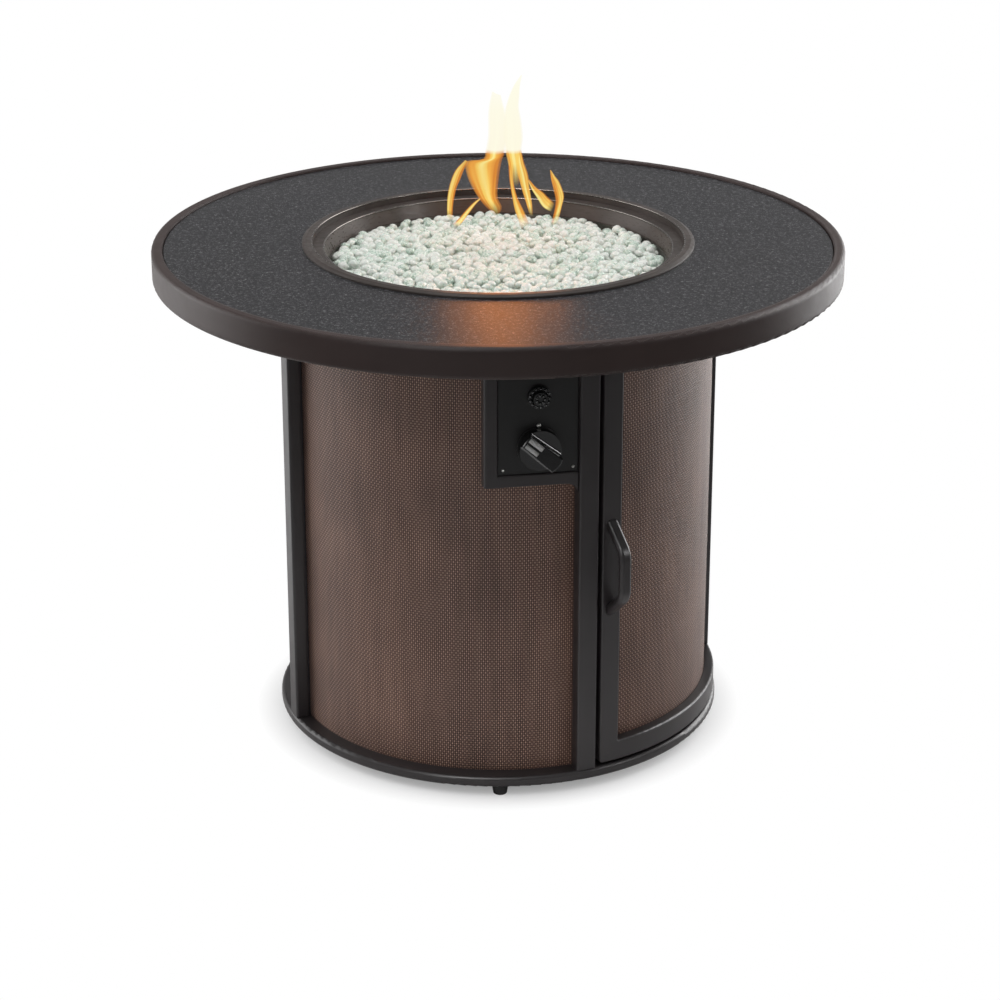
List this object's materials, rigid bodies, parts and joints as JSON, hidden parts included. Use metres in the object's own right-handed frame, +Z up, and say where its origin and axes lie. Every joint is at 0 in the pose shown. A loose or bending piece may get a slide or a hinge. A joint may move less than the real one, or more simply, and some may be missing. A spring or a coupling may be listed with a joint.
{
  "type": "fire pit table",
  "caption": "Round gas fire pit table with a mesh-clad drum base, curved access door and side control panel.",
  "frame": {"origin": "on the floor under the centre of the table", "axes": "+Z up, -Y towards the control panel, +X to the right as seen from the front"},
  "size_m": [0.8129, 0.813, 0.599],
  "materials": {
    "bronze_coat": "satin dark bronze powder coat",
    "top_face": "speckled charcoal, satin",
    "collar_metal": "darkened steel",
    "pan_steel": "plain sheet",
    "burner_steel": "stainless tube",
    "mesh_weave": "fine woven wire, bronze",
    "black_coat": "satin black",
    "frame_steel": "black primer on inner steelwork",
    "clear_glass": "rounded clear pebbles",
    "knob_gloss": "gloss black with grey index lines",
    "black_plastic": "moulded",
    "chrome_trim": "bright",
    "zinc_screw": "zinc plated",
    "brass": "machined",
    "gas_pipe": "drawn tube",
    "white_ceramic": "glazed insulator",
    "lead_rubber": "insulated lead",
    "glide": "moulded glide"
  },
  "bodies": {
    "table": {"top_rim": "bronze_coat", "panel_ledge": "bronze_coat", "top_panel": "top_face", "support_arm_control": "frame_steel", "support_arm_hinge": "frame_steel", "support_arm_rear": "frame_steel", "support_arm_left": "frame_steel", "upper_ring": "frame_steel", "burner_collar": "collar_metal", "collar_throat": "collar_metal", "burner_pan": "pan_steel", "burner_tube": "burner_steel", "burner_nipple": "brass", "air_mixer": "brass", "gas_tube": "gas_pipe", "gem_fill": "clear_glass", "loose_gems": "clear_glass", "spark_electrode": "white_ceramic", "electrode_bracket": "burner_steel", "igniter_lead": "lead_rubber", "control_frame": "bronze_coat", "control_plate": "black_coat", "igniter_bezel": "black_plastic", "igniter_body": "black_plastic", "igniter_nut": "black_plastic", "knob_bezel": "black_coat", "gas_valve": "brass", "gas_inlet": "brass", "valve_screws": "zinc_screw", "base_ring": "bronze_coat", "base_plate": "frame_steel", "tank_ring": "frame_steel", "post_control": "bronze_coat", "post_hinge": "bronze_coat", "post_rear": "bronze_coat", "post_left": "bronze_coat", "clamp_strips": "frame_steel", "lower_hoop": "frame_steel", "upper_hoop": "frame_steel", "mesh_front": "mesh_weave", "mesh_rear_left": "mesh_weave", "mesh_rear_right": "mesh_weave", "foot_front": "glide", "foot_right": "glide", "foot_back": "glide", "foot_left": "glide", "frame_screws": "zinc_screw", "hinge_pins": "zinc_screw", "door_header": "frame_steel", "catch_magnet": "black_plastic"},
    "door": {"door_frame": "bronze_coat", "door_mesh": "mesh_weave", "door_retainer": "frame_steel", "door_handle": "bronze_coat", "handle_screws": "zinc_screw", "catch_strike": "zinc_screw"},
    "igniter": {"igniter_button": "black_plastic"},
    "valve_core": {"valve_plug": "brass"},
    "knob": {"control_knob": "knob_gloss", "valve_stem": "brass"}
  },
  "joints": [
    {"name": "door_hinge", "type": "hinge", "parent": "table", "child": "door", "pos_m": [0.2588, 0.0338, 0.293], "axis": [0, 0, 1], "range_deg": [0, 100]},
    {"name": "igniter_push", "type": "slide", "parent": "table", "child": "igniter", "axis": [0, 1, 0], "range_m": [0, 0.004], "stiffness_N_per_m": 900, "springref_m": -0.001},
    {"name": "knob_turn", "type": "hinge", "parent": "table", "child": "valve_core", "pos_m": [0, -0.225, 0.43], "axis": [0, -1, 0], "range_deg": [0, 180]},
    {"name": "knob_push", "type": "slide", "parent": "valve_core", "child": "knob", "axis": [0, 1, 0], "range_m": [0, 0.0035], "stiffness_N_per_m": 700, "springref_m": -0.001}
  ]
}
